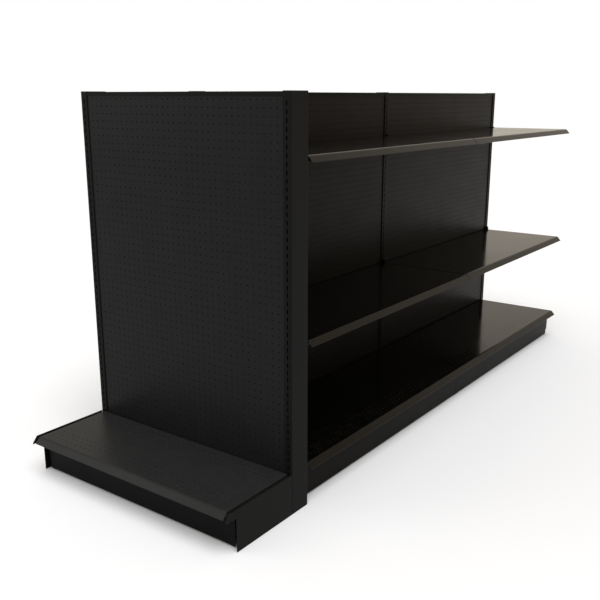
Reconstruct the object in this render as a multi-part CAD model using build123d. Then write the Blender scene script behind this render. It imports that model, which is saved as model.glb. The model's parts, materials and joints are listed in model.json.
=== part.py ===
"""Double-sided gondola shelving run of two bays with a single-sided end cap.

The run lies along X and the end cap closes its -X end. +Z is up, the floor is Z = 0, and the origin is
the middle of the footprint. "near" is the bay beside the cap and "far" the other; "front" is the aisle
side facing -Y and "rear" the one facing +Y. The cap's left and right are those of a shopper facing it.

Most pieces repeat on every side, so each is made once in a local frame: the slotted face of its uprights
is the plane Y = 0, the shelf side is -Y, and X = 0 is the middle of the bay or the middle of the upright.
"""
from build123d import *
import os

INCH = 25.4
LOW = (Align.CENTER, Align.CENTER, Align.MIN)

# Driving dimensions, in millimetres
HEIGHT = 54 * INCH
BAY = 48 * INCH
CAP_WIDTH = 36 * INCH
RUN_DEPTH = 17 * INCH
CAP_DEPTH = 12 * INCH
DECK_Z = 5.7 * INCH
MID_Z = 22.9 * INCH
TOP_Z = 46.4 * INCH

# Uprights: rectangular tube, one column of round-ended slots on each shelf side. A hook plate is a
# little narrower than a slot, so it sits HOOK_SEAT above the bottom of the slot's round end.
UPRIGHT_W = 1.25 * INCH
RUN_UPRIGHT_D = 2.0 * INCH
CAP_UPRIGHT_D = 3.5 * INCH
UPRIGHT_R = 3.0
TUBE_WALL = 2.0
SLOT_PITCH = INCH
SLOT_W = 5.0
SLOT_H = 15.2
SLOT_PHASE = 0.3 * INCH
SLOT_COUNT = 52
PLUG_FLANGE = 2.0
PLUG_REACH = 10.0
PLUG_FIT = 0.3

# Folded sheet
SHEET = 1.2
FLANGE = 18.0
LIP_OUT = 0.8 * INCH
LIP_DROP = 0.9 * INCH
LIP_RETURN = 7.0
REAR_GAP = 1.5

# Back panels and the rails that hold them
PANEL_T = 6.35
PANEL_RECESS = 3.8
PANEL_END_GAP = 0.3
RAIL_SHEET = 1.5
RAIL_FLANGE = 12.7
RAIL_END_GAP = 0.2
BOTTOM_RAIL_Z = 110.0
CAP_RAIL_FLANGE = 40.0

# Base: leg brackets, kick plates and the cap's end trims
LEG_W = 26.0
LEG_T = 2.0
LEG_BOTTOM = 25.4
LEG_FRONT_GAP = 5.0
DECK_END_GAP = 0.8
KICK_CLEAR = 0.25 * INCH
KICK_TOP = 4.5 * INCH
KICK_RETURN = 9.0
RUN_KICK_SETBACK = 0.8 * INCH
CAP_KICK_SETBACK = 1.5 * INCH
CAP_KICK_END = 2.0
FAR_KICK_END = 19.0
TRIM_SETBACK = 1.0 * INCH
TRIM_RETURN = 6.5
TRIM_REAR_GAP = 0.6

# Levelling feet
FOOT_R = 14.0
FOOT_H = 7.0
STUD_R = 5.0
STUD_TOP = 62.0
STUD_FIT = 0.05
NUT_PLATE_Z = 27.0
NUT_PLATE_T = 5.0
FOOT_SETBACK = 22.0
HEX_ACROSS = 17.0
HEX_H = 6.0

# Shelves and the hooked brackets that carry them
SHELF_END = 3.0
BRACKET_INNER = 0.25
BRACKET_T = 2.0
BRACKET_FACE_GAP = 0.4
BRACKET_NOSE = 50.0
BRACKET_REAR_H = 74.0
BRACKET_NOSE_H = 24.0
BRACKET_STEP_BACK = 70.0
LEDGE_W = 12.0
HOOK_H = 6.0
HOOK_SEAT = 1.5
HOOK_GAP = 1.0
HOOK_T = 2.5
HOOK_DROP = 2.0
TAB_SPACING = 2

# Bolts that join the cap to the run's near upright
BOLT_R = 4.0
BOLT_FIT = 0.2
BOLT_HEAD_ACROSS = 13.0
BOLT_HEAD_H = 5.3
BOLT_NUT_H = 6.5
BOLT_SPACING = 24.0

# Places that follow from the sizes above; CAP_FACE is the X of the cap's slotted face
RUN_LENGTH = CAP_UPRIGHT_D + UPRIGHT_W + 2 * BAY
CAP_FACE = (CAP_DEPTH + LIP_OUT - RUN_LENGTH) / 2
UPRIGHT_X = {
    "near": CAP_FACE + CAP_UPRIGHT_D + UPRIGHT_W / 2,
    "centre": CAP_FACE + CAP_UPRIGHT_D + UPRIGHT_W / 2 + BAY,
    "far": CAP_FACE + CAP_UPRIGHT_D + UPRIGHT_W / 2 + 2 * BAY,
}
BAY_X = {
    "near": UPRIGHT_X["near"] + BAY / 2,
    "far": UPRIGHT_X["centre"] + BAY / 2,
}
RUN_FACE = RUN_UPRIGHT_D / 2
TUBE_TOP = HEIGHT - PLUG_FLANGE
LEVELS = {"mid": (MID_Z, 23), "top": (TOP_Z, 46)}


def slot_z(index):
    """Bottom edge of a slot, counted from the lowest."""
    return index * SLOT_PITCH + SLOT_PHASE


def prism(points, width, x_middle=0.0):
    """A closed (Y, Z) outline drawn out along X about x_middle."""
    face = make_face(Plane.YZ * Polyline(*points, close=True))
    return Pos(x_middle - width / 2, 0, 0) * extrude(face, width, dir=(1, 0, 0))


def block(x_range, y_range, z_range):
    """A box given by its low and high corner on each axis."""
    size = [high - low for low, high in (x_range, y_range, z_range)]
    middle = [(high + low) / 2 for low, high in (x_range, y_range, z_range)]
    return Pos(*middle) * Box(*size)


def on_front(part, x):
    return Pos(x, -RUN_FACE, 0) * part


def on_rear(part, x):
    return Pos(x, RUN_FACE, 0) * Rot(0, 0, 180) * part


def on_cap(part, across=0.0):
    """across runs from the middle of the cap towards its right upright."""
    return Pos(CAP_FACE, -across, 0) * Rot(0, 0, -90) * part


def group(*parts):
    """Separate solids of one node."""
    return Compound([solid for part in parts for solid in part.solids()])


# ---- uprights -----------------------------------------------------------------------------------------

def bar(width, depth, height, radius):
    """Upright block centred on the Z axis, with its four vertical edges rounded."""
    block_part = Box(width, depth, height, align=LOW)
    return fillet(block_part.edges().filter_by(Axis.Z), radius)


def upright(depth, slots_through):
    """Slotted tube in the local frame: it stands behind the plane Y = 0. The slots have round ends."""
    inner_w, inner_d = UPRIGHT_W - 2 * TUBE_WALL, depth - 2 * TUBE_WALL
    inner = bar(inner_w, inner_d, TUBE_TOP, UPRIGHT_R - TUBE_WALL)
    tube = Pos(0, depth / 2, 0) * (bar(UPRIGHT_W, depth, TUBE_TOP, UPRIGHT_R) - inner)
    outline = Plane.XZ * Rot(0, 0, 90) * SlotOverall(SLOT_H, SLOT_W)
    slot = extrude(outline, depth if slots_through else TUBE_WALL, dir=(0, 1, 0))
    slots = [Pos(0, 0, slot_z(i) + SLOT_H / 2) * slot for i in range(1, SLOT_COUNT + 1)]
    return tube - slots


def plug(depth):
    """Press-in plastic cap over a tube's open top."""
    flange = Pos(0, 0, TUBE_TOP) * bar(UPRIGHT_W, depth, PLUG_FLANGE, UPRIGHT_R)
    inset = 2 * (TUBE_WALL + PLUG_FIT)
    body = bar(UPRIGHT_W - inset, depth - inset, PLUG_REACH, UPRIGHT_R - TUBE_WALL)
    return Pos(0, depth / 2, 0) * (flange + Pos(0, 0, TUBE_TOP - PLUG_REACH) * body)


def bolt_holes(face_x, rail_z):
    """Cutters for the two connector bolts at one rail, along X through a wall at face_x."""
    hole = Rot(0, 90, 0) * Cylinder(BOLT_R + BOLT_FIT, 4 * TUBE_WALL)
    return [Pos(face_x, side * BOLT_SPACING / 2, rail_z) * hole for side in (-1, 1)]


# ---- back panels and rails ----------------------------------------------------------------------------

def back_panel(bay_width):
    half = (bay_width - UPRIGHT_W) / 2 - PANEL_END_GAP
    low = BOTTOM_RAIL_Z + RAIL_SHEET
    return block((-half, half), (PANEL_RECESS, PANEL_RECESS + PANEL_T), (low, TUBE_TOP - RAIL_SHEET))


def run_rail(web_z, flange_sign):
    """Channel across a bay that holds the foot or the head of both panels."""
    half_x = (BAY - UPRIGHT_W) / 2 - RAIL_END_GAP
    inner = RUN_FACE - PANEL_RECESS
    outer = inner + RAIL_SHEET
    web = block((-half_x, half_x), (-outer, outer), (web_z, web_z + RAIL_SHEET))
    flange_z = (web_z, web_z + RAIL_FLANGE) if flange_sign > 0 else (web_z - RAIL_FLANGE, web_z)
    front = block((-half_x, half_x), (-outer, -inner), flange_z)
    rear = block((-half_x, half_x), (inner, outer), flange_z)
    return web + front + rear


def cap_rail(web_z, flange_sign):
    """As deep as the cap's uprights, with a tall rear flange that bolts to the run."""
    half_x = (CAP_WIDTH - UPRIGHT_W) / 2 - RAIL_END_GAP
    front_y = PANEL_RECESS - RAIL_SHEET
    web = block((-half_x, half_x), (front_y, CAP_UPRIGHT_D), (web_z, web_z + RAIL_SHEET))
    short = (web_z, web_z + RAIL_FLANGE) if flange_sign > 0 else (web_z - RAIL_FLANGE, web_z)
    tall = (web_z, web_z + CAP_RAIL_FLANGE) if flange_sign > 0 else (web_z - CAP_RAIL_FLANGE, web_z)
    front = block((-half_x, half_x), (front_y, PANEL_RECESS), short)
    rear = block((-half_x, half_x), (CAP_UPRIGHT_D - RAIL_SHEET, CAP_UPRIGHT_D), tall)
    return web + front + rear


def connector_bolt(rail_z, side):
    """Hex bolt along X from inside the cap's rail, and the nut inside the run's upright."""
    joint_x = CAP_FACE + CAP_UPRIGHT_D
    y = side * BOLT_SPACING / 2
    head_x = joint_x - RAIL_SHEET
    nut_x = joint_x + TUBE_WALL
    hex_side = BOLT_HEAD_ACROSS / 3 ** 0.5
    hexagon = Plane.YZ * RegularPolygon(hex_side, 6)
    head = Pos(head_x, y, rail_z) * extrude(hexagon, BOLT_HEAD_H, dir=(-1, 0, 0))
    shank_end = nut_x + BOLT_NUT_H + BOLT_R / 2
    shank_length = shank_end - head_x
    shank = Pos((head_x + shank_end) / 2, y, rail_z) * Rot(0, 90, 0) * Cylinder(BOLT_R, shank_length)
    nut = Pos(nut_x, y, rail_z) * extrude(hexagon, BOLT_NUT_H, dir=(1, 0, 0))
    return group(head + shank, nut - Pos(nut_x, y, rail_z) * Rot(0, 90, 0) * Cylinder(BOLT_R, 4 * BOLT_NUT_H))


# ---- base ---------------------------------------------------------------------------------------------

def leg_front(depth, kick_setback):
    """Distance from the upright to the front of the base leg, just behind the kick plate."""
    return depth - kick_setback - SHEET - LEG_FRONT_GAP


def base_leg(front):
    """Inverted channel hooked into the upright's slots, with a plate that holds the levelling foot."""
    top = DECK_Z - FLANGE
    half = LEG_W / 2
    shell = block((-half, half), (-front, 0), (LEG_BOTTOM, top))
    hollow = block((-half + LEG_T, half - LEG_T), (-front + LEG_T, -LEG_T), (LEG_BOTTOM, top - LEG_T))
    foot_y = -front + FOOT_SETBACK
    plate_y = (-front + LEG_T, foot_y + FOOT_SETBACK)
    plate_z = (NUT_PLATE_Z, NUT_PLATE_Z + NUT_PLATE_T)
    plate = block((-half + LEG_T, half - LEG_T), plate_y, plate_z)
    bore = Pos(0, foot_y, NUT_PLATE_Z) * Cylinder(STUD_R + STUD_FIT, 4 * NUT_PLATE_T)
    tab_half = SLOT_W / 2 - BRACKET_INNER
    tabs = []
    for index in (2, 4):
        low = slot_z(index) + HOOK_SEAT
        tab = block((-tab_half, tab_half), (0, 2 * TUBE_WALL + HOOK_T), (low, low + HOOK_H))
        tabs.append(tab)
    return ((shell - hollow) + plate + tabs) - bore


def leveler(front):
    """Round glide with a hex collar on a threaded stud, turned from below."""
    foot_y = -front + FOOT_SETBACK
    glide = Cylinder(FOOT_R, FOOT_H, align=LOW)
    glide = chamfer(glide.edges().group_by(Axis.Z)[-1], FOOT_H / 3)
    collar = Pos(0, 0, FOOT_H) * extrude(RegularPolygon(HEX_ACROSS / 3 ** 0.5, 6), HEX_H)
    stud = Cylinder(STUD_R, STUD_TOP, align=LOW)
    return Pos(0, foot_y, 0) * (glide + collar + stud)


def front_lip(depth, surface_z, half):
    """Sloping price channel along the front edge, with its turned-in lower edge."""
    slope_t = SHEET * (1 + (LIP_OUT / LIP_DROP) ** 2) ** 0.5
    toe = -(depth + LIP_OUT)
    low = surface_z - LIP_DROP
    slope = [
        (-depth, surface_z),
        (toe, low),
        (toe + slope_t, low),
        (-depth + slope_t, surface_z),
    ]
    turned = block((-half, half), (toe, toe + LIP_RETURN), (low, low + SHEET))
    return prism(slope, 2 * half) + turned


def tray(half, depth, surface_z):
    """Sheet with all four edges folded down and the price channel along its front."""
    low = surface_z - FLANGE
    top = block((-half, half), (-depth, -REAR_GAP), (surface_z - SHEET, surface_z))
    rear = block((-half, half), (-REAR_GAP - SHEET, -REAR_GAP), (low, surface_z))
    front = block((-half, half), (-depth, -depth + SHEET), (low, surface_z))
    side_y = (-depth, -REAR_GAP)
    left = block((-half, -half + SHEET), side_y, (low, surface_z))
    right = block((half - SHEET, half), side_y, (low, surface_z))
    return top + rear + front + left + right + front_lip(depth, surface_z, half)


def base_deck(bay_width, depth):
    """Bottom shelf, whose folded ends stand on the base legs."""
    return tray(bay_width / 2 - DECK_END_GAP, depth, DECK_Z)


def kick_plate(x_range, depth, kick_setback):
    """Folded skirt under the deck's lip, clear of the floor."""
    low_x, high_x = x_range
    face_y = -(depth - kick_setback)
    face = block(x_range, (face_y, face_y + SHEET), (KICK_CLEAR, KICK_TOP))
    inner_x = (low_x + LEG_W, high_x - LEG_W)
    fold_y = (face_y, face_y + KICK_RETURN)
    top = block(inner_x, fold_y, (KICK_TOP - SHEET, KICK_TOP))
    bottom = block(inner_x, fold_y, (KICK_CLEAR, KICK_CLEAR + SHEET))
    return face + top + bottom


def end_trim(side):
    """Side cover of the cap's base: a flat plate whose nose follows the deck's lip, folded inwards along
    its top edge. side is +1 for the cap's right and -1 for its left."""
    outer = UPRIGHT_W / 2
    toe = -(CAP_DEPTH + LIP_OUT)
    nose_low = DECK_Z - LIP_DROP - FLANGE / 3
    outline = [
        (-TRIM_REAR_GAP, 0),
        (-(CAP_DEPTH - TRIM_SETBACK), 0),
        (-(CAP_DEPTH - TRIM_SETBACK), nose_low),
        (toe + SHEET, nose_low + SHEET),
        (toe + SHEET, DECK_Z - LIP_DROP),
        (-CAP_DEPTH, DECK_Z),
        (-TRIM_REAR_GAP, DECK_Z),
    ]
    plate = prism(outline, SHEET, outer - SHEET / 2)
    fold_y = (-CAP_DEPTH, -TRIM_REAR_GAP)
    fold = block((outer - TRIM_RETURN, outer), fold_y, (DECK_Z - SHEET, DECK_Z))
    trim = plate + fold
    return trim if side > 0 else mirror(trim, about=Plane.YZ)


# ---- shelves ------------------------------------------------------------------------------------------

def shelf(surface_z):
    """Bay shelf, whose folded ends stand on the brackets' ledges."""
    return tray(BAY / 2 - SHELF_END, RUN_DEPTH, surface_z)


def shelf_bracket(surface_z, hook_index, side):
    """Hooked plate outside the shelf's end, with a ledge under it. side is +1 for the +X end."""
    seat = slot_z(hook_index)
    rear_y = -BRACKET_FACE_GAP
    nose_y = -(RUN_DEPTH - BRACKET_NOSE)
    ledge_top = surface_z - FLANGE
    neck_top = seat + HOOK_H
    shelf_top = surface_z - SHEET / 2
    hook_edge = [(rear_y, neck_top), (rear_y - LEDGE_W, neck_top), (rear_y - LEDGE_W, shelf_top)]
    outline = hook_edge + [
        (nose_y, shelf_top),
        (nose_y, surface_z - BRACKET_NOSE_H),
        (-BRACKET_STEP_BACK, surface_z - BRACKET_REAR_H),
        (rear_y, surface_z - BRACKET_REAR_H),
    ]
    outer = BAY / 2 - BRACKET_INNER
    inner = outer - BRACKET_T
    plate = prism(outline, BRACKET_T, outer - BRACKET_T / 2)
    ledge_y = (nose_y, rear_y - LEDGE_W)
    ledge = block((inner - LEDGE_W, outer), ledge_y, (ledge_top - BRACKET_T, ledge_top))
    finger_y = TUBE_WALL + HOOK_GAP
    neck = block((inner, outer), (rear_y, finger_y + HOOK_T), (seat + HOOK_SEAT, neck_top))
    finger = block((inner, outer), (finger_y, finger_y + HOOK_T), (seat - HOOK_DROP, neck_top))
    tab_low = slot_z(hook_index - TAB_SPACING) + HOOK_DROP
    tab = block((inner, outer), (rear_y, finger_y), (tab_low, tab_low + HOOK_H))
    bracket = plate + ledge + neck + finger + tab
    return bracket if side > 0 else mirror(bracket, about=Plane.YZ)


# ---- assembly -----------------------------------------------------------------------------------------

nodes = {}
half_cap = CAP_WIDTH / 2
cap_sides = {"left": -1, "right": 1}
run_sides = {"front": on_front, "rear": on_rear}
top_bolt_z = TUBE_TOP - CAP_RAIL_FLANGE / 2
bottom_bolt_z = BOTTOM_RAIL_Z + CAP_RAIL_FLANGE / 2

for name, side in cap_sides.items():
    nodes[f"cap_upright_{name}"] = on_cap(upright(CAP_UPRIGHT_D, False), side * half_cap)
for name, x in UPRIGHT_X.items():
    nodes[f"run_upright_{name}"] = on_front(upright(RUN_UPRIGHT_D, True), x)
joint_x = CAP_FACE + CAP_UPRIGHT_D
holes = bolt_holes(joint_x, top_bolt_z) + bolt_holes(joint_x, bottom_bolt_z)
nodes["run_upright_near"] -= holes

cap_plugs = [on_cap(plug(CAP_UPRIGHT_D), side * half_cap) for side in cap_sides.values()]
run_plugs = [on_front(plug(RUN_UPRIGHT_D), x) for x in UPRIGHT_X.values()]
nodes["upright_plugs"] = group(*cap_plugs, *run_plugs)

nodes["cap_top_rail"] = on_cap(cap_rail(TUBE_TOP - RAIL_SHEET, -1)) - holes
nodes["cap_bottom_rail"] = on_cap(cap_rail(BOTTOM_RAIL_Z, 1)) - holes
nodes["cap_back_panel"] = on_cap(back_panel(CAP_WIDTH))
for bay, x in BAY_X.items():
    nodes[f"run_top_rail_{bay}"] = Pos(x, 0, 0) * run_rail(TUBE_TOP - RAIL_SHEET, -1)
    nodes[f"run_bottom_rail_{bay}"] = Pos(x, 0, 0) * run_rail(BOTTOM_RAIL_Z, 1)
    for name, place in run_sides.items():
        nodes[f"back_panel_{bay}_{name}"] = place(back_panel(BAY), x)

bolts = [connector_bolt(z, side) for z in (top_bolt_z, bottom_bolt_z) for side in (-1, 1)]
nodes["connector_bolts"] = group(*bolts)

cap_front = leg_front(CAP_DEPTH, CAP_KICK_SETBACK)
run_front = leg_front(RUN_DEPTH, RUN_KICK_SETBACK)
nodes["cap_base_legs"] = group(*[on_cap(base_leg(cap_front), s * half_cap) for s in cap_sides.values()])
for name, side in cap_sides.items():
    nodes[f"cap_leveler_{name}"] = on_cap(leveler(cap_front), side * half_cap)
    nodes[f"cap_end_trim_{name}"] = on_cap(end_trim(side), side * half_cap)
for upright_name, x in UPRIGHT_X.items():
    legs = [place(base_leg(run_front), x) for place in run_sides.values()]
    nodes[f"base_legs_{upright_name}"] = group(*legs)
    for name, place in run_sides.items():
        nodes[f"leveler_{upright_name}_{name}"] = place(leveler(run_front), x)

nodes["cap_base_deck"] = on_cap(base_deck(CAP_WIDTH, CAP_DEPTH))
cap_kick_half = half_cap - CAP_KICK_END
nodes["cap_kick_plate"] = on_cap(kick_plate((-cap_kick_half, cap_kick_half), CAP_DEPTH, CAP_KICK_SETBACK))
for bay, x in BAY_X.items():
    far_gap = FAR_KICK_END if bay == "far" else DECK_END_GAP
    for name, place in run_sides.items():
        nodes[f"base_deck_{bay}_{name}"] = place(base_deck(BAY, RUN_DEPTH), x)
        low_gap, high_gap = (DECK_END_GAP, far_gap) if name == "front" else (far_gap, DECK_END_GAP)
        kick_range = (-BAY / 2 + low_gap, BAY / 2 - high_gap)
        nodes[f"kick_plate_{bay}_{name}"] = place(kick_plate(kick_range, RUN_DEPTH, RUN_KICK_SETBACK), x)

for level, (surface_z, hook_index) in LEVELS.items():
    for bay, x in BAY_X.items():
        for name, place in run_sides.items():
            nodes[f"shelf_{level}_{bay}_{name}"] = place(shelf(surface_z), x)
            pair = [place(shelf_bracket(surface_z, hook_index, side), x) for side in (-1, 1)]
            nodes[f"brackets_{level}_{bay}_{name}"] = group(*pair)

os.makedirs("parts", exist_ok=True)
for name, shape in nodes.items():
    export_step(shape, f"parts/{name}.step")
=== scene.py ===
"""Looks of a double-sided gondola shelving run with a single-sided end cap, built around its CAD frame.

The file follows the fixture as a shop fitter puts it together: uprights, rails and pegboard backs, base,
decks, kick plates, end trims, and then the shelves on their brackets. Metres, +Z up, floor at Z = 0.
"""
import json
from math import atan2, cos, hypot, pi, radians, sin

import bmesh
import bpy
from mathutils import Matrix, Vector

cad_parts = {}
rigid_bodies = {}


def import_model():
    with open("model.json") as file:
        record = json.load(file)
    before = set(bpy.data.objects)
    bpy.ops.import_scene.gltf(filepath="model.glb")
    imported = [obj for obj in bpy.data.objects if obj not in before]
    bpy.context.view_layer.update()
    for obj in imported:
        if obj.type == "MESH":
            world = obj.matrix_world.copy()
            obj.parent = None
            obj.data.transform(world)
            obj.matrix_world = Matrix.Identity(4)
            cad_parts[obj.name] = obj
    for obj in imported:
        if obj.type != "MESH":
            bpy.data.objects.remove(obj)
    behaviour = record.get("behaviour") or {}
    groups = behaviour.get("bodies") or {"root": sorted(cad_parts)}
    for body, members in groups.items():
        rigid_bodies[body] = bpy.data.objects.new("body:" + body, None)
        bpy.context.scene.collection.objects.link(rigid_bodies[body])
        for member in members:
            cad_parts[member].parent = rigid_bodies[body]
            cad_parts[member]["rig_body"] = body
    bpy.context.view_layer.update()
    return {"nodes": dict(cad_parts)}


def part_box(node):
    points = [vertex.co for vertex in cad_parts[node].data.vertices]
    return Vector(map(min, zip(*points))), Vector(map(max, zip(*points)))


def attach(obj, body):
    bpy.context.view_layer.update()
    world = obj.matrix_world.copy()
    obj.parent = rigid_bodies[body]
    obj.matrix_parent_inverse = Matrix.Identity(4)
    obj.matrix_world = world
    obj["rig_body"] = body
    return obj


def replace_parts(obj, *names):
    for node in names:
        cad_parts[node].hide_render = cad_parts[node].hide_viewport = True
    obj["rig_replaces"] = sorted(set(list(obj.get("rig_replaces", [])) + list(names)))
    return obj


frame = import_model()
bpy.ops.object.select_all(action="DESELECT")


# ---- studio -------------------------------------------------------------------------------------------
# A shop fixture standing on a pale floor between white walls, under one large soft lamp.
# The floor and the walls are what the black coats reflect.

def linear(colour):
    """A linear RGBA colour from an sRGB hex string such as "#101010"."""
    channels = [int(colour[i:i + 2], 16) / 255 for i in (1, 3, 5)]
    return [c / 12.92 if c <= 0.04045 else ((c + 0.055) / 1.055) ** 2.4 for c in channels] + [1.0]


def add_node(tree, kind, inputs=None, **settings):
    """Adds a node, gives it its settings, and sets each named input to a value or links it to a socket."""
    made = tree.nodes.new(kind)
    for name, value in settings.items():
        setattr(made, name, value)
    for name, value in (inputs or {}).items():
        socket = made.inputs[name]
        if isinstance(value, bpy.types.NodeSocket):
            tree.links.new(value, socket)
        else:
            socket.default_value = value
    return made


def new_material(name):
    """An empty material, its node tree and its output node."""
    material = bpy.data.materials.new(name)
    material.use_nodes = True
    material.node_tree.nodes.clear()
    return material, material.node_tree, material.node_tree.nodes.new("ShaderNodeOutputMaterial")


# The floor lies a hair under the feet, so that the two faces don't fight
FLOOR_SIZE, FLOOR_DROP = 60.0, 0.0005
bpy.ops.mesh.primitive_plane_add(size=FLOOR_SIZE, location=(0, 0, -FLOOR_DROP))
floor = bpy.context.object
floor.name = "studio_floor"
# Matt floor paint: a cool pale grey with next to no reflection of its own
floor_paint, tree, output = new_material("matt_floor_paint")
coat = add_node(tree, "ShaderNodeBsdfPrincipled", {
    "Base Color": linear("#e1e4ea"), "Roughness": 0.85, "Specular IOR Level": 0.2})
tree.links.new(coat.outputs["BSDF"], output.inputs["Surface"])
floor.data.materials.append(floor_paint)

scene = bpy.context.scene
world = bpy.data.worlds.new("white_studio")
scene.world = world
world.use_nodes = True
# The backdrop is white, but the walls that light the fixture and show in its gloss are a little greyer
ray = add_node(world.node_tree, "ShaderNodeLightPath")
walls = add_node(world.node_tree, "ShaderNodeMix", {
    "Factor": ray.outputs["Is Camera Ray"], "A": linear("#dcd3c5"), "B": linear("#ffffff")}, data_type="RGBA")
world.node_tree.links.new(walls.outputs["Result"], world.node_tree.nodes["Background"].inputs["Color"])
scene.view_settings.view_transform = "Standard"

OVERHEAD_TILT_X, OVERHEAD_TILT_Y, OVERHEAD_SPREAD = radians(18), radians(-14), radians(50)
OVERHEAD_STRENGTH = 2.35
bpy.ops.object.light_add(type="SUN", rotation=(OVERHEAD_TILT_X, OVERHEAD_TILT_Y, 0))
overhead = bpy.context.object
overhead.name = "overhead_softbox"
overhead.data.energy = OVERHEAD_STRENGTH
overhead.data.angle = OVERHEAD_SPREAD

# A weak second lamp off the end cap's left side, aimed at the cap
SIDE_BOX_PLACE, SIDE_BOX_AIM = (-3.5, 2.8, 2.2), (-1.1, 0, 0.6)
SIDE_BOX_W, SIDE_BOX_H, SIDE_BOX_WATTS = 2.4, 1.8, 25
bpy.ops.object.light_add(type="AREA", location=SIDE_BOX_PLACE)
side_box = bpy.context.object
side_box.name = "side_softbox"
side_box.data.shape = "RECTANGLE"
side_box.data.size, side_box.data.size_y = SIDE_BOX_W, SIDE_BOX_H
side_box.data.energy = SIDE_BOX_WATTS
side_box.rotation_euler = (Vector(SIDE_BOX_AIM) - side_box.location).to_track_quat("-Z", "Y").to_euler()

# Chest height, off the end cap's corner towards the front aisle, looking a little down
CAMERA_PLACE = (-3.0073, -1.8955, 1.3562)
CAMERA_PITCH, CAMERA_YAW = -14.554, 36.313
LENS_MM, SENSOR_MM = 47.2, 36.0
FAR_CLIP = 100.0
bpy.ops.object.camera_add(
    location=CAMERA_PLACE,
    rotation=(radians(90 + CAMERA_PITCH), 0, radians(CAMERA_YAW - 90)))
camera = bpy.context.object
camera.name = "camera"
camera.data.lens = LENS_MM
camera.data.sensor_width = SENSOR_MM
camera.data.clip_end = FAR_CLIP
scene.camera = camera


# ---- uprights -----------------------------------------------------------------------------------------
# Rectangular steel tube, roll-formed with small corner radii, with a column of punched round-ended slots.
# Black polyester powder coat, baked on: half-gloss, with a faint orange peel and thinner on the edges.

def per_metre(millimetres):
    """The Scale of a noise whose lumps are this far across."""
    return 1000 / millimetres


def powder_coat(name, colour, worn, roughness, gleam, sheen):
    """Baked polyester powder on steel. worn is the colour where handling has burnished an edge, gleam the
    strength of the clear surface reflection and sheen its tint."""
    smoother, rougher, most_dust, worn_rim = 0.02, 0.04, 0.012, 0.0015
    material, tree, output = new_material(name)
    place = add_node(tree, "ShaderNodeTexCoord").outputs["Object"]
    # Orange peel is about 2 mm across; it is drawn 7 mm wide so that it shows at the size of a whole bay
    peel = add_node(tree, "ShaderNodeTexNoise", {"Vector": place, "Scale": per_metre(7.14), "Detail": 2.0})
    # The powder lies thicker and glossier in patches a hand or two wide
    cloud = add_node(tree, "ShaderNodeTexNoise", {"Vector": place, "Scale": per_metre(200), "Detail": 4.0})
    gloss = add_node(tree, "ShaderNodeMapRange", {
        "Value": cloud.outputs["Fac"], "From Min": 0.3, "From Max": 0.7,
        "To Min": roughness - smoother, "To Max": roughness + rougher})
    # Dust settles in patches on what faces up
    facing = add_node(tree, "ShaderNodeNewGeometry").outputs["Normal"]
    up = add_node(tree, "ShaderNodeSeparateXYZ", {"Vector": facing}).outputs["Z"]
    specks = add_node(tree, "ShaderNodeTexNoise", {"Vector": place, "Scale": per_metre(26.3), "Detail": 6.0})
    settled = add_node(tree, "ShaderNodeMapRange", {
        "Value": specks.outputs["Fac"], "From Min": 0.45, "From Max": 0.75,
        "To Min": 0.0, "To Max": most_dust})
    dust = add_node(tree, "ShaderNodeMath", {0: up, 1: settled.outputs["Result"]},
                    operation="MULTIPLY", use_clamp=True)
    # Edges: where the rounded normal parts from the true one
    rounded = add_node(tree, "ShaderNodeBevel", {"Radius": worn_rim}, samples=4)
    parting = add_node(tree, "ShaderNodeVectorMath", {0: rounded.outputs["Normal"], 1: facing},
                       operation="DOT_PRODUCT")
    edge = add_node(tree, "ShaderNodeMapRange", {
        "Value": parting.outputs["Value"], "From Min": 0.99, "From Max": 0.85, "To Min": 0.0, "To Max": 0.6})
    patchy = add_node(tree, "ShaderNodeMath", {0: edge.outputs["Result"], 1: cloud.outputs["Fac"]},
                      operation="MULTIPLY", use_clamp=True)
    base = add_node(tree, "ShaderNodeMix", {
        "Factor": patchy.outputs["Value"], "A": linear(colour), "B": linear(worn)}, data_type="RGBA")
    dusty = add_node(tree, "ShaderNodeMix", {
        "Factor": dust.outputs["Value"], "A": base.outputs["Result"], "B": linear("#8c857a")},
        data_type="RGBA")
    bump = add_node(tree, "ShaderNodeBump", {
        "Height": peel.outputs["Fac"], "Strength": 0.06, "Distance": 0.0004})
    coat = add_node(tree, "ShaderNodeBsdfPrincipled", {
        "Base Color": dusty.outputs["Result"], "Roughness": gloss.outputs["Result"],
        "Normal": bump.outputs["Normal"], "IOR": 1.5, "Specular IOR Level": gleam,
        "Specular Tint": linear(sheen)})
    tree.links.new(coat.outputs["BSDF"], output.inputs["Surface"])
    return material


# Tints of the surface reflection: the run's powder has a brown cast, the end cap's has none
WARM, NEUTRAL = "#ffe9d2", "#ffffff"
frame_coat = powder_coat("black_powder_coat_frame", "#070706", "#262523", 0.28, 0.05, WARM)
# The end cap's coats, here and below, are lighter, greyer copies of the run's black with less gloss: painted
# light, standing for the brighter light on the end cap
cap_painted_light_frame_coat = powder_coat("black_powder_coat_cap_frame_painted_light", "#131313", "#2b2b2a", 0.38, 0.035, NEUTRAL)


WELD_GAP = 0.00001
# A bend sharper than this is an edge of the piece, not a facet of a round stretch
EDGE_ANGLE = radians(50)


def dress_cad(nodes, material, edge_width):
    """Carried-over CAD pieces: welded, with softened edges, in their finish."""
    for name in nodes:
        cad = frame["nodes"][name]
        cad.data.materials.clear()
        cad.data.materials.append(material)
        weld = cad.modifiers.new("weld", "WELD")
        weld.merge_threshold = WELD_GAP
        soften = cad.modifiers.new("soften", "BEVEL")
        soften.width = edge_width
        soften.segments = 2
        soften.limit_method = "ANGLE"
        soften.angle_limit = EDGE_ANGLE
        soften.use_clamp_overlap = True
        cad.modifiers.new("even_normals", "WEIGHTED_NORMAL").keep_sharp = True


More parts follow.
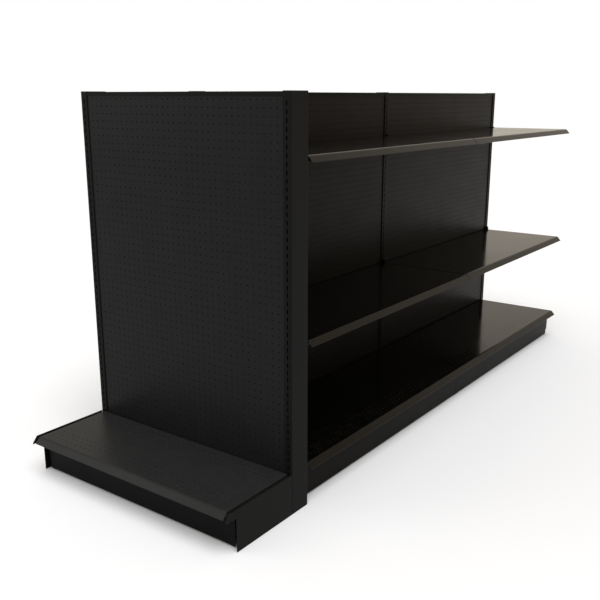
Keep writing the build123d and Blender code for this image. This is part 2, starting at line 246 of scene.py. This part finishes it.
TUBE_EDGE = 0.0004
dress_cad([name for name in frame["nodes"] if name.startswith("run_upright")], frame_coat, TUBE_EDGE)
dress_cad([name for name in frame["nodes"] if name.startswith("cap_upright")], cap_painted_light_frame_coat, TUBE_EDGE)


# ---- upright plugs ------------------------------------------------------------------------------------
# Injection-moulded nylon caps pressed into the open tops of the tubes; dull black with a fine spark grain.

plug_nylon, tree, output = new_material("moulded_black_nylon")
place = add_node(tree, "ShaderNodeTexCoord").outputs["Object"]
# Spark grain a millimetre across; patches a thumb wide are rubbed smoother
grain = add_node(tree, "ShaderNodeTexNoise", {"Vector": place, "Scale": per_metre(1.11), "Detail": 2.0})
handled = add_node(tree, "ShaderNodeTexNoise", {"Vector": place, "Scale": per_metre(33.3), "Detail": 3.0})
sheen = add_node(tree, "ShaderNodeMapRange", {
    "Value": handled.outputs["Fac"], "To Min": 0.45, "To Max": 0.62})
shade = add_node(tree, "ShaderNodeMix", {
    "Factor": handled.outputs["Fac"], "A": linear("#0d0d0d"), "B": linear("#1a1a1a")}, data_type="RGBA")
bump = add_node(tree, "ShaderNodeBump", {"Height": grain.outputs["Fac"], "Strength": 0.3, "Distance": 0.0001})
nylon = add_node(tree, "ShaderNodeBsdfPrincipled", {
    "Base Color": shade.outputs["Result"], "Roughness": sheen.outputs["Result"],
    "Normal": bump.outputs["Normal"], "IOR": 1.53, "Specular IOR Level": 0.3})
tree.links.new(nylon.outputs["BSDF"], output.inputs["Surface"])
PLUG_EDGE = 0.0006
dress_cad(["upright_plugs"], plug_nylon, PLUG_EDGE)


# ---- rails --------------------------------------------------------------------------------------------
# Folded steel channels across each bay, in the same coat as the uprights, that hold the panels' edges.

RAIL_EDGE = 0.0005
run_rails = [name for name in frame["nodes"] if name.startswith("run_") and "_rail" in name]
dress_cad(run_rails, frame_coat, RAIL_EDGE)
dress_cad(["cap_top_rail", "cap_bottom_rail"], cap_painted_light_frame_coat, RAIL_EDGE)


# ---- pegboard back panels -----------------------------------------------------------------------------
# Quarter-inch hardboard drilled on a one-inch grid and painted satin black, dropped between the rails.

INCH = 0.0254
HOLE_PITCH = INCH
HOLE_R = 0.0025
# Of the height left over by whole rows of holes, most is above them
TOP_SHARE = 0.77
TINY = 0.00002
body_of = {name: cad["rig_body"] for name, cad in frame["nodes"].items()}
run_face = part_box("run_upright_near")[0].y
cap_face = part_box("cap_upright_left")[0].x
bay_x = {bay: sum(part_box(f"back_panel_{bay}_front"), Vector()).x / 2 for bay in ("near", "far")}
TO_CAP = -pi / 2


def pick(kind, test):
    """In edit mode, selects only the verts, edges or faces whose middle passes the test."""
    bpy.ops.mesh.select_mode(type={"verts": "VERT", "edges": "EDGE", "faces": "FACE"}[kind])
    bpy.ops.mesh.select_all(action="DESELECT")
    shape = bmesh.from_edit_mesh(bpy.context.object.data)
    for part in getattr(shape, kind):
        corners = [part.co] if kind == "verts" else [v.co for v in part.verts]
        part.select_set(test(sum(corners, Vector()) / len(corners)))
    shape.select_flush_mode()
    bmesh.update_edit_mesh(bpy.context.object.data)


def push_out(test, step):
    """In edit mode, extrudes the edges whose middle passes the test by a step."""
    pick("edges", test)
    bpy.ops.mesh.extrude_edges_move(TRANSFORM_OT_translate={"value": step})


def only(piece):
    """Makes one object the selected and active one."""
    bpy.ops.object.select_all(action="DESELECT")
    piece.select_set(True)
    bpy.context.view_layer.objects.active = piece


def square_up(piece):
    """Puts an object's place, turn and scale into its mesh."""
    only(piece)
    bpy.ops.object.transform_apply(location=True, rotation=True, scale=True)


def apply_modifier(piece, kind, **settings):
    """Adds a modifier to the piece, sets it and applies it."""
    only(piece)
    modifier = piece.modifiers.new(kind.lower(), kind)
    for name, value in settings.items():
        setattr(modifier, name, value)
    bpy.ops.object.modifier_apply(modifier=modifier.name)


def stand_for(piece, node):
    """The piece rides with its CAD node's body and is shown in its place."""
    piece.name = piece.data.name = f"{node}_made"
    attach(piece, body_of[node])
    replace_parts(piece, node)


def settle(piece, node, material, turn, at):
    """Turns a piece made facing -Y about the Z axis, moves it to its place and gives it its finish."""
    piece.rotation_euler.z = turn
    piece.location = at
    square_up(piece)
    piece.data.materials.append(material)
    stand_for(piece, node)


def twin_of(piece):
    """A copy of a settled piece, with its own mesh, that stands for no node yet."""
    only(piece)
    bpy.ops.object.duplicate(linked=False)
    twin = bpy.context.object
    twin.parent = None
    del twin["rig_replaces"]
    return twin


def copy_to(piece, first, node, turned):
    """A copy of a settled piece at another CAD node, turned half round for the rear aisle."""
    start, end = (sum(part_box(name), Vector()) / 2 for name in (first, node))
    twin = twin_of(piece)
    if turned:
        bpy.ops.transform.rotate(value=pi, orient_axis="Z", center_override=start)
    bpy.ops.transform.translate(value=end - start)
    square_up(twin)
    stand_for(twin, node)


def pegboard(width, low, high, thickness):
    """A drilled panel in the plane Y = 0, facing -Y: one drilled square, repeated, then its margins."""
    columns, rows = int(width / HOLE_PITCH), int((high - low) / HOLE_PITCH)
    drilled_x = columns * HOLE_PITCH / 2
    drilled_top = high - (high - low - rows * HOLE_PITCH) * TOP_SHARE
    first = Vector((-drilled_x + HOLE_PITCH / 2, 0, drilled_top - HOLE_PITCH / 2))
    bpy.ops.mesh.primitive_plane_add(size=HOLE_PITCH, location=first, rotation=(pi / 2, 0, 0))
    panel = bpy.context.object
    square_up(panel)
    bpy.ops.object.mode_set(mode="EDIT")
    bpy.ops.mesh.select_all(action="SELECT")
    bpy.ops.mesh.subdivide(number_cuts=1)
    pick("verts", lambda at: (at - first).length < HOLE_R)
    bpy.ops.mesh.delete(type="VERT")
    bpy.ops.mesh.primitive_circle_add(vertices=8, radius=HOLE_R, location=first, rotation=(pi / 2, 0, 0))
    pick("edges", lambda at: True)
    bpy.ops.mesh.bridge_edge_loops()
    if bmesh.from_edit_mesh(panel.data).faces[:][0].normal.y > 0:
        bpy.ops.mesh.flip_normals()
    bpy.ops.object.mode_set(mode="OBJECT")
    for count, step in ((columns, (HOLE_PITCH, 0, 0)), (rows, (0, 0, -HOLE_PITCH))):
        apply_modifier(panel, "ARRAY", count=count, use_relative_offset=False, use_constant_offset=True,
                       constant_offset_displace=step, use_merge_vertices=True, merge_threshold=TINY)
    bpy.ops.object.mode_set(mode="EDIT")
    drilled_foot = drilled_top - rows * HOLE_PITCH
    push_out(lambda at: at.x < -drilled_x + TINY, (drilled_x - width / 2, 0, 0))
    push_out(lambda at: abs(at.x - drilled_x) < TINY, (width / 2 - drilled_x, 0, 0))
    push_out(lambda at: at.z > drilled_top - TINY, (0, 0, high - drilled_top))
    push_out(lambda at: at.z < drilled_foot + TINY, (0, 0, low - drilled_foot))
    bpy.ops.object.mode_set(mode="OBJECT")
    apply_modifier(panel, "SOLIDIFY", thickness=thickness, offset=-1.0)
    return panel


def painted_hardboard(name, darkest, lightest, gleam, sheen):
    """Hardboard under two rolled coats: satin, with short fibres showing through as a fine unevenness.
    The colour wanders between darkest and lightest where the roller laid more or less paint."""
    material, tree, output = new_material(name)
    place = add_node(tree, "ShaderNodeTexCoord").outputs["Object"]
    # Bundles of fibres about 4 mm long, and passes of a roller about 11 cm wide
    fibres = add_node(tree, "ShaderNodeTexNoise", {"Vector": place, "Scale": per_metre(3.85), "Detail": 5.0})
    roller = add_node(tree, "ShaderNodeTexNoise", {"Vector": place, "Scale": per_metre(111), "Detail": 4.0})
    satin = add_node(tree, "ShaderNodeMapRange", {
        "Value": roller.outputs["Fac"], "From Min": 0.3, "From Max": 0.7, "To Min": 0.32, "To Max": 0.40})
    shade = add_node(tree, "ShaderNodeMix", {
        "Factor": roller.outputs["Fac"], "A": linear(darkest), "B": linear(lightest)}, data_type="RGBA")
    bump = add_node(tree, "ShaderNodeBump", {
        "Height": fibres.outputs["Fac"], "Strength": 0.12, "Distance": 0.0003})
    board = add_node(tree, "ShaderNodeBsdfPrincipled", {
        "Base Color": shade.outputs["Result"], "Roughness": satin.outputs["Result"],
        "Normal": bump.outputs["Normal"], "IOR": 1.5, "Specular IOR Level": gleam,
        "Specular Tint": linear(sheen)})
    tree.links.new(board.outputs["BSDF"], output.inputs["Surface"])
    return material


run_board = painted_hardboard("satin_painted_hardboard", "#080605", "#0b0907", 0.07, WARM)
# The end cap's board is a lighter copy of the run's: painted light, with a cool tint that offsets the walls'
# warm light
cap_painted_light_board = painted_hardboard("satin_painted_hardboard_cap_painted_light", "#171819", "#1c1d1e", 0.05, NEUTRAL)
low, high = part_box("back_panel_near_front")
panel = pegboard(high.x - low.x, low.z, high.z, high.y - low.y)
settle(panel, "back_panel_near_front", run_board, 0.0, (bay_x["near"], low.y, 0))
for node in ("back_panel_near_rear", "back_panel_far_front", "back_panel_far_rear"):
    copy_to(panel, "back_panel_near_front", node, turned=node.endswith("rear"))
low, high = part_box("cap_back_panel")
panel = pegboard(high.y - low.y, low.z, high.z, high.x - low.x)
settle(panel, "cap_back_panel", cap_painted_light_board, TO_CAP, (low.x, 0, 0))


# ---- base legs, levelling feet and joining bolts ------------------------------------------------------
# Pressed-steel channels hooked into the uprights, on zinc-plated screw feet. Two pairs of zinc-plated
# bolts join the cap's rails to the run's first upright.

LEG_EDGE, SCREW_EDGE = 0.0008, 0.0005
dress_cad([name for name in frame["nodes"] if name.startswith("base_legs")], frame_coat, LEG_EDGE)
dress_cad(["cap_base_legs"], cap_painted_light_frame_coat, LEG_EDGE)

# Bright zinc with a clear passivate: pale grey, cloudy a centimetre across, faintly yellow in places
zinc, tree, output = new_material("zinc_plated_steel")
place = add_node(tree, "ShaderNodeTexCoord").outputs["Object"]
spangle = add_node(tree, "ShaderNodeTexNoise", {"Vector": place, "Scale": per_metre(8.33), "Detail": 4.0})
dull = add_node(tree, "ShaderNodeMapRange", {"Value": spangle.outputs["Fac"], "To Min": 0.25, "To Max": 0.5})
tone = add_node(tree, "ShaderNodeMix", {
    "Factor": spangle.outputs["Fac"], "A": linear("#a9aaa8"), "B": linear("#bdb8a6")}, data_type="RGBA")
bump = add_node(tree, "ShaderNodeBump", {
    "Height": spangle.outputs["Fac"], "Strength": 0.1, "Distance": 0.0002})
metal = add_node(tree, "ShaderNodeBsdfPrincipled", {
    "Base Color": tone.outputs["Result"], "Metallic": 1.0, "Roughness": dull.outputs["Result"],
    "Normal": bump.outputs["Normal"]})
tree.links.new(metal.outputs["BSDF"], output.inputs["Surface"])
dress_cad([name for name in frame["nodes"] if "leveler" in name], zinc, SCREW_EDGE)
dress_cad(["connector_bolts"], zinc, SCREW_EDGE)


# ---- base decks ---------------------------------------------------------------------------------------
# The lowest shelves: steel sheet folded down at the back, and down and out at the front into a sloping
# price channel. Bands of small holes at the front and back take wire dividers. They rest on the legs.

SHEET = 0.0012
FLANGE = 0.018
FOLD_R = 0.0018
RIM_R = SHEET / 5
LIP_OUT, LIP_DROP, LIP_RETURN = 0.8 * INCH, 0.9 * INCH, 0.007
LIP_TOP_R, LIP_BEAD_R = 0.006, 0.0035
REAR_GAP = 0.0015
PERFORATION_R = 0.0026
# Rows of divider holes in each band, and how far the first is from the fold, in pitches
PERFORATION_ROWS, FIRST_ROW = 3, 1.3
# Bends sharper than the first angle are folds to be rounded; shading runs smooth over those under the second
FOLD_ANGLE, SMOOTH_ANGLE = radians(60), radians(38)
# Broad flat sheet comes out of the oven glossier than the tubes do
sheet_coat = powder_coat("black_powder_coat_sheet", "#050504", "#2a2927", 0.13, 0.155, WARM)
# The end cap's sheet coat is a lighter copy of the run's, with less gloss: painted light, its cool tint
# offsetting the walls' warm light
cap_painted_light_sheet_coat = powder_coat("black_powder_coat_cap_sheet_painted_light", "#202122", "#353535", 0.38, 0.10, NEUTRAL)


def blank(size_x, size_y, middle, upright=False):
    """A flat rectangle of sheet, lying face up or standing to face -Y, ready for folding."""
    bpy.ops.mesh.primitive_plane_add(size=1, location=middle, rotation=(pi / 2 if upright else 0, 0, 0))
    piece = bpy.context.object
    piece.scale = (size_x, size_y, 1)
    square_up(piece)
    bpy.ops.object.mode_set(mode="EDIT")
    return piece


def ease_rims(piece):
    """Takes the sharpness off the cut rims of a piece of sheet."""
    apply_modifier(piece, "BEVEL", width=RIM_R, segments=1, limit_method="ANGLE", angle_limit=EDGE_ANGLE)


def form(piece):
    """Rounds the folds of a bent sheet, gives it its gauge inwards and eases its rims."""
    bpy.ops.mesh.select_mode(type="EDGE")
    bpy.ops.mesh.select_all(action="SELECT")
    bpy.ops.mesh.remove_doubles(threshold=TINY)
    bpy.ops.mesh.select_all(action="DESELECT")
    shape = bmesh.from_edit_mesh(piece.data)
    for edge in shape.edges:
        edge.select_set(len(edge.link_faces) == 2 and edge.calc_face_angle() > FOLD_ANGLE)
    bmesh.update_edit_mesh(piece.data)
    bpy.ops.mesh.bevel(offset=FOLD_R, segments=3, affect="EDGES")
    bpy.ops.object.mode_set(mode="OBJECT")
    apply_modifier(piece, "SOLIDIFY", thickness=SHEET, offset=-1.0, use_even_offset=True)
    ease_rims(piece)


def even_shading(piece):
    """Smooth over the rounded folds and flat over the flats."""
    only(piece)
    bpy.ops.object.shade_smooth_by_angle(angle=SMOOTH_ANGLE)
    apply_modifier(piece, "WEIGHTED_NORMAL", keep_sharp=True, weight=100)


def price_channel(front, surface):
    """In edit mode, folds the sloping lip out of the front edge and rolls its lower edge in."""
    push_out(lambda at: abs(at.y - front) < TINY, (0, -LIP_OUT, -LIP_DROP))
    push_out(lambda at: abs(at.y - front + LIP_OUT) < TINY, (0, LIP_RETURN, 0))
    pick("edges", lambda at: abs(at.y - front) < TINY and abs(at.z - surface) < TINY)
    bpy.ops.mesh.bevel(offset=LIP_TOP_R, segments=3, affect="EDGES")
    pick("edges", lambda at: abs(at.y - front + LIP_OUT) < TINY)
    bpy.ops.mesh.bevel(offset=LIP_BEAD_R, segments=5, affect="EDGES")


def fold_ends(half, rear, surface):
    """In edit mode, folds down the back edge and both end edges of a tray."""
    push_out(lambda at: abs(at.y - rear) < TINY, (0, 0, -FLANGE))
    for side in (-half, half):
        push_out(lambda at: abs(at.x - side) < TINY and at.z > surface - TINY, (0, 0, -FLANGE))


def stiffener(half, front, surface):
    """The box edge behind the lip, a second fold of the same sheet."""
    piece = blank(2 * half, FLANGE - SHEET, (0, front + SHEET, surface - (FLANGE + SHEET) / 2), upright=True)
    form(piece)
    return piece


def join(pieces):
    """Several made shells into one object."""
    only(pieces[0])
    for piece in pieces[1:]:
        piece.select_set(True)
    bpy.ops.object.join()
    return pieces[0]


def perforate(piece, half, rows_y, surface):
    """Punches rows of small holes through the sheet, a hole pitch apart."""
    columns = int(2 * half / HOLE_PITCH) - 1
    start = -(columns - 1) / 2 * HOLE_PITCH
    punches = []
    for y in rows_y:
        bpy.ops.mesh.primitive_cylinder_add(vertices=8, radius=PERFORATION_R, depth=4 * SHEET,
                                            location=(start, y, surface))
        punch = bpy.context.object
        square_up(punch)
        apply_modifier(punch, "ARRAY", count=columns, use_relative_offset=False, use_constant_offset=True,
                       constant_offset_displace=(HOLE_PITCH, 0, 0))
        punches.append(punch)
    punch = join(punches)
    apply_modifier(piece, "BOOLEAN", object=punch, operation="DIFFERENCE", solver="EXACT")
    bpy.data.objects.remove(punch)


def tray(width, depth, surface):
    """A folded shelf facing -Y, its rear edge just in front of the plane Y = 0."""
    half = width / 2
    made = blank(width, depth - REAR_GAP, (0, -(depth + REAR_GAP) / 2, surface))
    price_channel(-depth, surface)
    fold_ends(half, -REAR_GAP, surface)
    form(made)
    return join([made, stiffener(half - SHEET, -depth, surface)])


def base_deck(width, depth, surface):
    """A tray with its divider holes."""
    deck = tray(width, depth, surface)
    band = [HOLE_PITCH * (row + FIRST_ROW) for row in range(PERFORATION_ROWS)]
    front_rows, rear_rows = [step - depth for step in band], [-REAR_GAP - step for step in band]
    perforate(deck, width / 2, front_rows + rear_rows, surface)
    even_shading(deck)
    return deck


low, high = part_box("base_deck_near_front")
deck = base_deck(high.x - low.x, run_face - low.y - LIP_OUT, high.z)
settle(deck, "base_deck_near_front", sheet_coat, 0.0, (bay_x["near"], run_face, 0))
for node in ("base_deck_near_rear", "base_deck_far_front", "base_deck_far_rear"):
    copy_to(deck, "base_deck_near_front", node, turned=node.endswith("rear"))
low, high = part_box("cap_base_deck")
deck = base_deck(high.y - low.y, cap_face - low.x - LIP_OUT, high.z)
settle(deck, "cap_base_deck", cap_painted_light_sheet_coat, TO_CAP, (cap_face, 0, 0))


# ---- kick plates --------------------------------------------------------------------------------------
# Skirts under the decks: sheet steel with its top and foot folded in between the legs, clear of the floor.

KICK_RETURN = 0.009
LEG_W = 0.026
# The kick plates' coats are darker, duller copies of the same black: painted shade, for the shadow under the
# decks' lips. The end cap's is also lighter than the run's, painted light as on the rest of the cap
kick_painted_shade_coat = powder_coat("black_powder_coat_kick_painted_shade", "#070706", "#262523", 0.34, 0.035, WARM)
cap_kick_painted_light_and_shade_coat = powder_coat("black_powder_coat_cap_kick_painted_light_and_shade", "#0f1012", "#262626", 0.4, 0.03, NEUTRAL)


def cut_across(x):
    """In edit mode, a cut through the whole sheet at one X."""
    bpy.ops.mesh.select_all(action="SELECT")
    bpy.ops.mesh.bisect(plane_co=(x, 0, 0), plane_no=(1, 0, 0))


def kick_plate(width, foot, top):
    """A skirt in the plane Y = 0, facing -Y, centred on X = 0."""
    inner = width / 2 - LEG_W
    plate = blank(width, top - foot, (0, 0, (top + foot) / 2), upright=True)
    cut_across(-inner)
    cut_across(inner)
    push_out(lambda at: at.z > top - TINY and abs(at.x) < inner, (0, KICK_RETURN, 0))
    push_out(lambda at: at.z < foot + TINY and abs(at.x) < inner, (0, KICK_RETURN, 0))
    form(plate)
    even_shading(plate)
    return plate


for bay in ("near", "far"):
    first = f"kick_plate_{bay}_front"
    low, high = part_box(first)
    plate = kick_plate(high.x - low.x, low.z, high.z)
    settle(plate, first, kick_painted_shade_coat, 0.0, ((low.x + high.x) / 2, low.y, 0))
    copy_to(plate, first, f"kick_plate_{bay}_rear", turned=True)
low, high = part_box("cap_kick_plate")
plate = kick_plate(high.y - low.y, low.z, high.z)
settle(plate, "cap_kick_plate", cap_kick_painted_light_and_shade_coat, TO_CAP, (low.x, 0, 0))


# ---- end trims of the cap -----------------------------------------------------------------------------
# Flat steel covers on both sides of the cap's base, with a nose that follows the deck's lip. The top edge
# is folded inwards over the leg, on down the nose and round its blunt tip.

TRIM_SETBACK = INCH
TRIM_RETURN = 0.0065
TRIM_GAP = 0.0006
NOSE_DEPTH = 0.006
# The trims' edges are rubbed paler than the rest of the cap. Their ground colour is a lighter copy of the
# run's black: painted light, as on the rest of the cap
cap_painted_light_trim_coat = powder_coat("black_powder_coat_cap_trim_painted_light", "#111110", "#3c3c3a", 0.34, 0.04, NEUTRAL)


def nose_return(upper, lower):
    """The turned-in edge of the nose between two (y, z) points of its outline."""
    run_y, drop = lower[0] - upper[0], upper[1] - lower[1]
    length, tilt = hypot(run_y, drop), atan2(drop, -run_y)
    bpy.ops.mesh.primitive_cube_add(size=1)
    strip = bpy.context.object
    strip.scale = (TRIM_RETURN - SHEET / 2, length, SHEET)
    square_up(strip)
    ease_rims(strip)
    strip.location = (-(TRIM_RETURN + SHEET / 2) / 2, (upper[0] + lower[0]) / 2 + sin(tilt) * SHEET / 2,
                      (upper[1] + lower[1]) / 2 - cos(tilt) * SHEET / 2)
    strip.rotation_euler = (tilt, 0, 0)
    square_up(strip)
    return strip


def end_trim(depth, surface):
    """The right-hand cover as a sheet in the plane X = 0, facing +X, with the slotted face at Y = 0."""
    front, corner, toe = -(depth - TRIM_SETBACK), -depth, -(depth + LIP_OUT - SHEET)
    lip_foot = surface - LIP_DROP
    nose_foot = lip_foot - NOSE_DEPTH
    bpy.ops.mesh.primitive_plane_add(size=1, location=(0, (front - TRIM_GAP) / 2, surface / 2),
                                     rotation=(pi / 2, 0, pi / 2))
    trim = bpy.context.object
    trim.scale = (-TRIM_GAP - front, surface, 1)
    square_up(trim)
    bpy.ops.object.mode_set(mode="EDIT")
    for z in (lip_foot, nose_foot):
        bpy.ops.mesh.select_all(action="SELECT")
        bpy.ops.mesh.bisect(plane_co=(0, 0, z), plane_no=(0, 0, 1))
    push_out(lambda at: abs(at.y - front) < TINY and at.z > nose_foot, (0, corner - front, 0))
    push_out(lambda at: abs(at.y - corner) < TINY and at.z > nose_foot, (0, toe - corner, 0))
    pick("verts", lambda at: abs(at.y - toe) < TINY and at.z > lip_foot + TINY)
    bpy.ops.transform.translate(value=(0, 0, lip_foot - surface))
    pick("verts", lambda at: abs(at.y - toe) < TINY and at.z < nose_foot + TINY)
    bpy.ops.transform.translate(value=(0, 0, SHEET))
    bpy.ops.mesh.select_all(action="SELECT")
    bpy.ops.mesh.remove_doubles(threshold=TINY)
    push_out(lambda at: at.z > surface - TINY, (-TRIM_RETURN, 0, 0))
    form(trim)
    shoulder, brow, tip = (corner, surface), (toe, lip_foot), (toe, nose_foot + SHEET)
    trim = join([trim, nose_return(shoulder, brow), nose_return(brow, tip)])
    even_shading(trim)
    return trim


low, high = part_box("cap_end_trim_right")
cap_depth = cap_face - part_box("cap_base_deck")[0].x - LIP_OUT
trim = end_trim(cap_depth, high.z)
settle(trim, "cap_end_trim_right", cap_painted_light_trim_coat, TO_CAP, (cap_face, low.y, 0))
left_trim = twin_of(trim)
bpy.ops.transform.mirror(constraint_axis=(False, True, False), center_override=(0, 0, 0))
square_up(left_trim)
bpy.ops.object.mode_set(mode="EDIT")
bpy.ops.mesh.select_all(action="SELECT")
bpy.ops.mesh.normals_make_consistent(inside=False)
bpy.ops.object.mode_set(mode="OBJECT")
stand_for(left_trim, "cap_end_trim_left")


# ---- shelves ------------------------------------------------------------------------------------------
# Steel trays with all edges folded down and the same price channel along the front, dropped between the
# hooked brackets. Same coat as the decks.

first = "shelf_top_near_front"
low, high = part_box(first)
shelf = tray(high.x - low.x, run_face - low.y - LIP_OUT, high.z)
even_shading(shelf)
settle(shelf, first, sheet_coat, 0.0, (bay_x["near"], run_face, 0))
for level in ("top", "mid"):
    for bay in ("near", "far"):
        for side in ("front", "rear"):
            node = f"shelf_{level}_{bay}_{side}"
            if node != first:
                copy_to(shelf, first, node, turned=side == "rear")


# ---- shelf brackets -----------------------------------------------------------------------------------
# Steel plates blanked with hooks that drop into the uprights' slots, with a folded ledge under the tray.

PLATE_EDGE = 0.0004
dress_cad([name for name in frame["nodes"] if name.startswith("brackets_")], frame_coat, PLATE_EDGE)
